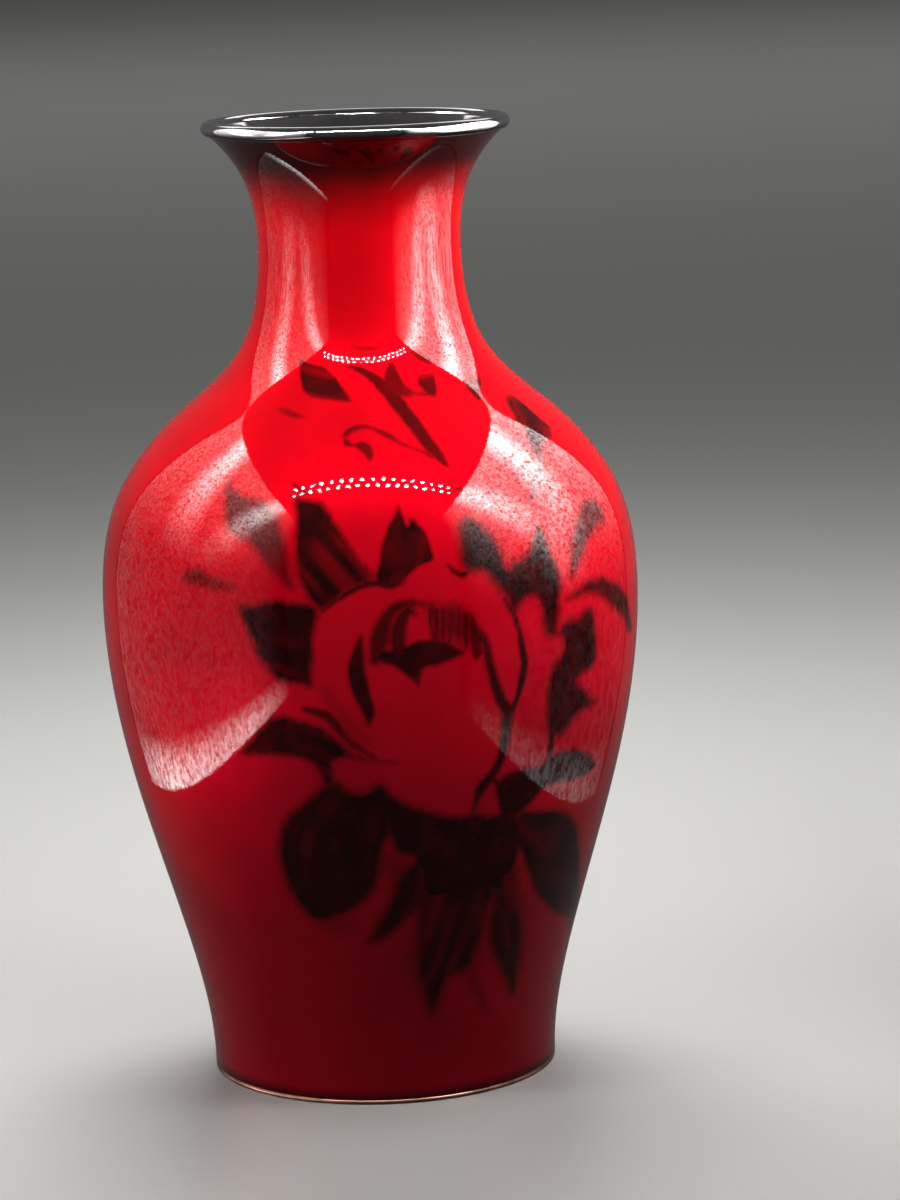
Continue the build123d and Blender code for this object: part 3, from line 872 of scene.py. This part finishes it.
def stepped(stops, steps):
    """Values from the first stop to the last, spaced about as each stretch's step says."""
    values = [stops[0]]
    for low, high, step in zip(stops, stops[1:], steps):
        count = max(1, round((high - low) / step))
        values += [low + (high - low) * k / count for k in range(1, count + 1)]
    return np.array(values)


def skin_rows():
    """Distances of the skin's rows along the profile, how far each is set in, and how it leans.

    Only the rows of the two rounded ends are set in and lean.
    """
    inner = stepped(
        (
            FOOT_ROUNDING,
            place_at_height(PICTURE_LOW * MM),
            place_at_height(PICTURE_HIGH * MM),
            profile_length - LIP_ROUNDING,
        ),
        (COARSE_STEP, FINE_STEP, COARSE_STEP),
    )
    foot = np.array(ROUNDING_STEPS[:-1]) * FOOT_ROUNDING
    lip = profile_length - np.array(ROUNDING_STEPS[-2::-1]) * LIP_ROUNDING
    places = np.concatenate([foot, inner, lip])
    from_foot = np.clip(FOOT_ROUNDING - places, 0, None)
    from_lip = np.clip(LIP_ROUNDING - (profile_length - places), 0, None)
    depth = FOOT_ROUNDING - np.sqrt(FOOT_ROUNDING**2 - from_foot**2)
    depth = depth + LIP_ROUNDING - np.sqrt(LIP_ROUNDING**2 - from_lip**2)
    lean = from_foot / FOOT_ROUNDING - from_lip / LIP_ROUNDING  # sine of the rounding's tilt
    return places, depth, lean


def enamel_skin(name, turns, replaced):
    """A closed sector of the outer enamel, between two angles, with the picture's fields on its points."""
    places, depth, lean = skin_rows()
    outer, normals = on_profile(places, depth)
    inner, _ = on_profile(places, ENAMEL)
    tangents = np.stack([-normals[:, 1], normals[:, 0]], 1)
    shading = normals * np.sqrt(1 - lean**2)[:, None] - tangents * lean[:, None]
    rows, columns = len(places), len(turns)
    section = np.vstack([outer, inner[::-1]])
    section_normals = np.vstack([shading, -normals[::-1]])
    angles = np.radians(turns)
    sines, cosines = np.sin(angles)[:, None], np.cos(angles)[:, None]

    def around(pairs):
        radial, upward = pairs[:, 0][None, :], pairs[:, 1][None, :]
        return np.stack([radial * sines, -radial * cosines, upward + 0 * sines], 2).reshape(-1, 3)

    ring = 2 * rows
    faces = []
    for column in range(columns - 1):
        here, there = column * ring, (column + 1) * ring
        for row in range(ring):
            above = (row + 1) % ring
            faces.append((here + row, there + row, there + above, here + above))
    last = (columns - 1) * ring
    for row in range(rows - 1):
        back = ring - 1 - row
        faces.append((row, row + 1, back - 1, back))
        faces.append((last + back, last + back - 1, last + row + 1, last + row))
    piece = new_object(name, around(section), faces, red_enamel)
    mesh = piece.data
    mesh.normals_split_custom_set_from_vertices([tuple(v) for v in around(section_normals)])
    fields = paint(np.repeat(turns, ring), np.tile(section[:, 1], columns) / MM)
    for field, values in fields.items():
        layer = mesh.attributes.new(field, "FLOAT", "POINT")
        layer.data.foreach_set("value", values.astype(np.float32))
    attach(piece, "root")
    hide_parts(*replaced)


KEPT_AS_PACKED = {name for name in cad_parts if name.startswith("copper_")}
OWN_PIECES = {"mouth_rim", "foot_ring", "lining_enamel", "base_enamel"}
picture_nodes = sorted(set(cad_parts) - KEPT_AS_PACKED - OWN_PIECES - {"lip_shade_enamel"})
front_turns = stepped(
    (FRONT_LEFT, PICTURE_LEFT, PICTURE_RIGHT, FRONT_RIGHT), (COARSE_TURN, FINE_TURN, COARSE_TURN)
)
back_turns = stepped((FRONT_RIGHT, 360 + FRONT_LEFT), (COARSE_TURN,))
enamel_skin("enamel_rose_side", front_turns, picture_nodes)
enamel_skin("enamel_plain_side", back_turns, ["red_ground_enamel", "lip_shade_enamel"])

# -------------------- mouth rim

RIM_COLUMNS = 256
BEAD_POINTS = 40
SKIRT_POINTS = 26
BELOW_SKIRT = 1.4 * MM  # the skirt's points start this far below its end, and are then cut to it

wall_end, wall_normal = on_profile([profile_length])
wall_end, wall_normal = wall_end[0], wall_normal[0]
wall_inner = wall_end - wall_normal * WALL
wall_tangent = np.array([-wall_normal[1], wall_normal[0]])
bead_centre = (wall_end + wall_inner) / 2 + wall_tangent * BEAD_REACH


def arc(centre, start, end, count):
    """Points on a circle from start to end, counterclockwise."""
    from_centre, to_centre = start - centre, end - centre
    first = atan2(from_centre[1], from_centre[0])
    last = atan2(to_centre[1], to_centre[0])
    while last <= first:
        last += 2 * pi
    radius = np.linalg.norm(from_centre)
    turns = np.linspace(first, last, count)
    return centre + radius * np.stack([np.cos(turns), np.sin(turns)], 1)


skirt_places = np.linspace(profile_length, place_at_height(SKIRT_END - BELOW_SKIRT), SKIRT_POINTS)
skirt_face, _ = on_profile(skirt_places, WALL)
skirt_face = skirt_face[skirt_face[:, 1] > SKIRT_END]
skirt_back, _ = on_profile(skirt_places[::-1], WALL - LINING)
skirt_back = skirt_back[skirt_back[:, 1] > SKIRT_END]
bead = arc(bead_centre, wall_end, wall_inner, BEAD_POINTS)
rim_outline = np.vstack([bead, skirt_face[1:], skirt_back])
rim = lathe("silver_rim", rim_outline, RIM_COLUMNS, silver)
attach(rim, "root")
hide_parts("mouth_rim")

# -------------------- foot ring

RING_COLUMNS = 192
RING_POINTS = 12
RING_WIDTH = 1.9 * MM
TABLE_ROUNDING = 0.3 * MM
TABLE_ROUNDING_POINTS = 7
ring_inner = FOOT_RADIUS - ENAMEL - RING_WIDTH


def corner(x, z, start):
    """A quarter circle of the table rounding about (x, z), from the angle start."""
    turns = np.radians(np.linspace(start, start + 90, TABLE_ROUNDING_POINTS))
    return np.stack([x + TABLE_ROUNDING * np.cos(turns), z + TABLE_ROUNDING * np.sin(turns)], 1)


ring_wall_places = np.linspace(0, place_at_height(FOOT_HEIGHT), RING_POINTS)
ring_wall, _ = on_profile(ring_wall_places, ENAMEL)
ring_back, _ = on_profile(ring_wall_places[::-1], ENAMEL + RING_WIDTH)
foot_outline = np.vstack(
    [
        corner(ring_inner + TABLE_ROUNDING, TABLE_ROUNDING, 180),
        corner(FOOT_RADIUS - TABLE_ROUNDING, TABLE_ROUNDING, 270),
        [(FOOT_RADIUS, BARE_EDGE)],
        ring_wall,
        ring_back,
    ]
)
foot = lathe("copper_foot", foot_outline, RING_COLUMNS, bare_copper)
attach(foot, "root")
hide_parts("foot_ring")

# -------------------- counter-enamels

INSIDE_COLUMNS = 160
LINING_POINTS = 220
FLOOR_POINTS = 10
BASE_POINTS = 24
MIDDLE_HOLE = 0.2 * MM  # radius where the turned glass stops short of the axis
POOL_TOP = 3 * LINING  # the lining's wall starts this far over the inner floor
POOL_WIDTH = 3.2 * MM

lining_places = np.linspace(0, profile_length, LINING_POINTS)
lining_outer, _ = on_profile(lining_places, WALL - LINING)
lining_inner, _ = on_profile(lining_places, WALL)
in_body = (lining_outer[:, 1] > INNER_FLOOR) & (lining_outer[:, 1] < SKIRT_END)
over_pool = (lining_inner[:, 1] > INNER_FLOOR + POOL_TOP) & (lining_inner[:, 1] < SKIRT_END)
lining_outer, lining_inner = lining_outer[in_body], lining_inner[over_pool]
floor_edge = lining_inner[0, 0]
# molten glass gathered in the corner between wall and floor
pool = [
    (floor_edge - 0.25 * MM, INNER_FLOOR + 1.9 * LINING),
    (floor_edge - 0.8 * MM, INNER_FLOOR + 1.35 * LINING),
    (floor_edge - 1.8 * MM, INNER_FLOOR + 1.1 * LINING),
]
floor_radii = np.linspace(floor_edge - POOL_WIDTH, MIDDLE_HOLE, FLOOR_POINTS)
lining_floor = [(radius, INNER_FLOOR + LINING) for radius in floor_radii]
under_floor = [(radius, INNER_FLOOR) for radius in floor_radii[::-1]]
lining_outline = np.vstack([under_floor, lining_outer, lining_inner[::-1], pool, lining_floor])
lining = lathe("lining", lining_outline, INSIDE_COLUMNS, counter_enamel)
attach(lining, "root")
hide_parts("lining_enamel")

MENISCUS = 0.35 * MM  # the glass creeps down the foot ring this far
MENISCUS_WIDTH = 0.9 * MM
BASE_GAP = 0.05 * MM  # between the glass and the foot ring

base_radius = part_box("base_enamel")[1][0] - BASE_GAP
base_radii = np.linspace(base_radius, MIDDLE_HOLE, BASE_POINTS)
base_face = []
for radius in base_radii:
    creep = MENISCUS * np.exp(-(base_radius - radius) / MENISCUS_WIDTH)
    base_face.append((radius, FOOT_HEIGHT - LINING - creep))
base_back = [(radius, FOOT_HEIGHT) for radius in base_radii[::-1]]
base = lathe("underside", np.vstack([base_back, base_face]), INSIDE_COLUMNS, counter_enamel)
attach(base, "root")
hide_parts("base_enamel")

# -------------------- copper body, as packed

for node_name in sorted(KEPT_AS_PACKED):
    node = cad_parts[node_name]
    node.data.materials.clear()
    node.data.materials.append(raised_copper)

# -------------------- camera

CAMERA_PLACE = Vector((0.0, -795.6 * MM, 232.8 * MM))
CAMERA_YAW = radians(1.106)
CAMERA_PITCH = radians(10.10)
CAMERA_ROLL = radians(1.70)
CAMERA_LENS = 124.8  # mm
SENSOR_HEIGHT = 36.0  # mm

ahead = Vector(
    (sin(CAMERA_YAW) * cos(CAMERA_PITCH), cos(CAMERA_YAW) * cos(CAMERA_PITCH), -sin(CAMERA_PITCH))
)
level = Vector((cos(CAMERA_YAW), -sin(CAMERA_YAW), 0.0))
upright = level.cross(ahead)
to_right = level * cos(CAMERA_ROLL) - upright * sin(CAMERA_ROLL)
to_top = level * sin(CAMERA_ROLL) + upright * cos(CAMERA_ROLL)
camera_data = bpy.data.cameras.new("camera")
camera_data.sensor_fit = "VERTICAL"
camera_data.sensor_height = SENSOR_HEIGHT
camera_data.lens = CAMERA_LENS
camera_data.clip_start = 0.01
camera_data.clip_end = 100.0
camera = placed("camera", camera_data)
facing = Matrix((to_right, to_top, -ahead)).transposed()
camera.matrix_world = Matrix.Translation(CAMERA_PLACE) @ facing.to_4x4()
bpy.context.scene.camera = camera

# -------------------- floor and lights

FLOOR_REACH = 30.0  # from the vase to each edge
ONE_FACE = [(0, 1, 2, 3)]

floor_corners = [(x * FLOOR_REACH, y * FLOOR_REACH, 0) for x, y in ((-1, -1), (1, -1), (1, 1), (-1, 1))]
floor = new_object("floor", floor_corners, ONE_FACE, floor_material())
floor.visible_glossy = False  # a pale floor would otherwise veil the glossy glass


def area_light(name, place, target, size, power):
    """A rectangular lamp that shines from place towards target."""
    data = bpy.data.lights.new(name, "AREA")
    data.shape = "RECTANGLE"
    data.size, data.size_y = size
    data.energy = power
    lamp = placed(name, data)
    lamp.location = place
    lamp.rotation_euler = (Vector(target) - Vector(place)).to_track_quat("-Z", "Y").to_euler()
    lamp.visible_camera = False
    return lamp


PANEL_LIGHT = (1.0, 0.98, 0.97)
STREAK_GLOW = 11.0
STREAK_WIDTH = 0.030  # from a streak's middle to where it ends
STREAK_REACH = 0.165  # how far down a panel the streaks and the haze fade out
FRONT_INSET, FRONT_SLANT = 0.075, 0.42  # the front streak's start behind the edge, and its way back
BACK_START, BACK_SLANT = 0.016, -0.30
FOOT_LOW, FOOT_HIGH = 0.004, 0.022  # the bright foot fades out between these heights
FOOT_FADE = 0.09  # and towards the back over this width
FRONT_FADE = 0.10  # the glow rises from nothing over this width at the front
EDGE_START, EDGE_END = 0.005, 0.004  # it drops to a dim line this far before the back edge


def panel_glow(n, back, front, bottom, top, haze, foot_glow, low_glow):
    """How brightly a panel glows: two streaks from its top edge, a haze around them and a bright foot."""
    place = n.coordinates()
    depth, height = place["Y"], place["Z"]
    below = n.math("SUBTRACT", top, height)
    fading = n.map(below, 0.0, STREAK_REACH, 1.0, 0.0)
    glow = n.math("ADD", n.math("MULTIPLY", fading, haze), low_glow)
    for start, slant in ((front + FRONT_INSET, FRONT_SLANT), (BACK_START, BACK_SLANT)):
        middle = n.math("ADD", n.math("MULTIPLY", below, slant), start)
        gap = n.math("ABSOLUTE", n.math("SUBTRACT", depth, middle))
        streak = n.math("MULTIPLY", n.map(gap, 0.0, STREAK_WIDTH, STREAK_GLOW, 0.0), fading)
        glow = n.math("ADD", glow, streak)
    foot = n.map(height, bottom + FOOT_LOW, bottom + FOOT_HIGH, foot_glow, 0.0)
    foot = n.math("MULTIPLY", foot, n.map(depth, back - FOOT_FADE, back, 1.0, 0.15))
    glow = n.math("ADD", glow, foot)
    glow = n.math("MULTIPLY", glow, n.map(depth, front, front + FRONT_FADE, 0.0, 1.0))
    glow = n.math("MULTIPLY", glow, n.map(depth, back - EDGE_START, back - EDGE_END, 1.0, 0.03))
    grain = n.map(n.noise(300.0, 3.0, 0.85), 0.38, 0.62, 0.1, 2.1, smooth_step=False)
    return n.math("MULTIPLY", glow, grain)


def glow_panel(name, place_x, back, front, bottom, top, strength, **glow_shares):
    """An upright silvery panel beside the vase that throws light back on it."""
    n = Nodes(name)
    n.tree.nodes.remove(n.shader)
    glow = panel_glow(n, back, front, bottom, top, **glow_shares)
    emission = n.add("ShaderNodeEmission")
    n.feed(emission.inputs["Color"], PANEL_LIGHT)
    n.feed(emission.inputs["Strength"], n.math("MULTIPLY", glow, strength))
    n.link(emission.outputs["Emission"], n.tree.nodes["Material Output"].inputs["Surface"])
    outline = ((front, bottom), (back, bottom), (back, top), (front, top))
    panel = new_object(name, [(place_x, y, z) for y, z in outline], ONE_FACE, n.material)
    panel.visible_camera = False
    panel.visible_shadow = False


glow_panel(
    "left_panel", place_x=-0.128, back=0.078, front=-0.205, bottom=0.012, top=0.279,
    strength=1.1, haze=1.3, foot_glow=5.5, low_glow=0.2,
)
glow_panel(
    "right_panel", place_x=0.112, back=0.068, front=-0.172, bottom=0.012, top=0.252,
    strength=1.6, haze=3.2, foot_glow=0.4, low_glow=0.05,
)

# soft lights behind the vase, near and far
back_top = area_light("back_top", (0.0, 0.24, 0.46), (0.0, 0.16, 0.0), (0.26, 0.2), 4.0)
back_top.visible_glossy = False
area_light("far_top", (0.0, 3.4, 2.4), (0.0, 3.4, 0.0), (3.5, 2.0), 29.0)

# a zigzag row of small lamps over the front of the vase
LAMPS = 35
LAMP_ROW_LEFT, LAMP_ROW_RIGHT = -0.086, 0.098
LAMP_ROW_FRONT, LAMP_ROW_ZIGZAG = -0.104, 0.010
LAMP_ROW_HEIGHT = 0.255
LAMP_RADIUS = 1.6 * MM
LAMP_POWER = 0.024
for number in range(LAMPS):
    data = bpy.data.lights.new("row_lamp", "POINT")
    data.shadow_soft_size = LAMP_RADIUS
    data.energy = LAMP_POWER
    lamp = placed(f"row_lamp_{number}", data)
    across = LAMP_ROW_LEFT + (LAMP_ROW_RIGHT - LAMP_ROW_LEFT) * number / (LAMPS - 1)
    lamp.location = (across, LAMP_ROW_FRONT + LAMP_ROW_ZIGZAG * (number % 2), LAMP_ROW_HEIGHT)
    lamp.visible_camera = False

# -------------------- light from all around

WORLD_COLOUR = (0.95, 0.95, 0.93, 1.0)
FRONT_TO_BACK = {"From Min": -0.2, "From Max": 0.8, "To Min": 0.04, "To Max": 0.11}


def studio_world():
    """Dim in front of the vase and lighter behind it."""
    world = bpy.data.worlds.new("studio")
    world.use_nodes = True
    nodes, links = world.node_tree.nodes, world.node_tree.links
    direction = nodes.new("ShaderNodeTexCoord")
    split = nodes.new("ShaderNodeSeparateXYZ")
    turn = nodes.new("ShaderNodeMapRange")
    for name, value in FRONT_TO_BACK.items():
        turn.inputs[name].default_value = value
    links.new(direction.outputs["Generated"], split.inputs["Vector"])
    links.new(split.outputs["Y"], turn.inputs["Value"])
    links.new(turn.outputs["Result"], nodes["Background"].inputs["Strength"])
    nodes["Background"].inputs["Color"].default_value = WORLD_COLOUR
    return world


bpy.context.scene.world = studio_world()
bpy.context.scene.view_settings.view_transform = "Standard"
